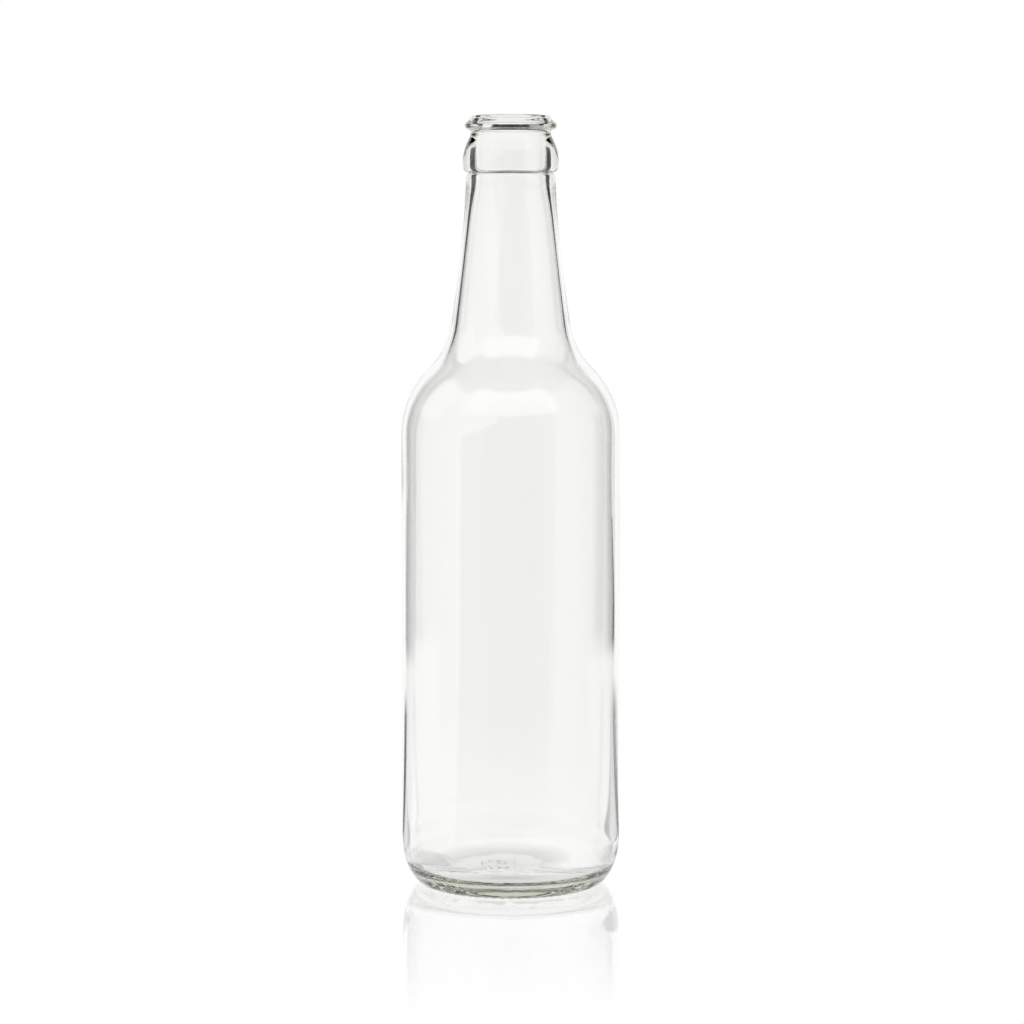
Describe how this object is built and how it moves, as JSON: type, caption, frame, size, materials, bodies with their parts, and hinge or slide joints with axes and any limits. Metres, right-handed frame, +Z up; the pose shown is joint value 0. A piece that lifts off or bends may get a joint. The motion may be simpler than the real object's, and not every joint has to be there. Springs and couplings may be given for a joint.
{
  "type": "crown cap bottle",
  "caption": "Empty long-neck bottle of clear glass with an open crown cap finish, straight round body, round heel and domed base.",
  "frame": {"origin": "middle of the flat ring that the bottle stands on", "axes": "+Z up along the bottle's axis, from the base to the mouth; X and Y are any two radial directions, as the bottle is round"},
  "size_m": [0.0634, 0.0634, 0.223],
  "materials": {
    "clear_glass": "clear soda-lime glass, fire polished, with a stippled ring under the base"
  },
  "bodies": {
    "root": {"bottle": "clear_glass"}
  },
  "joints": []
}
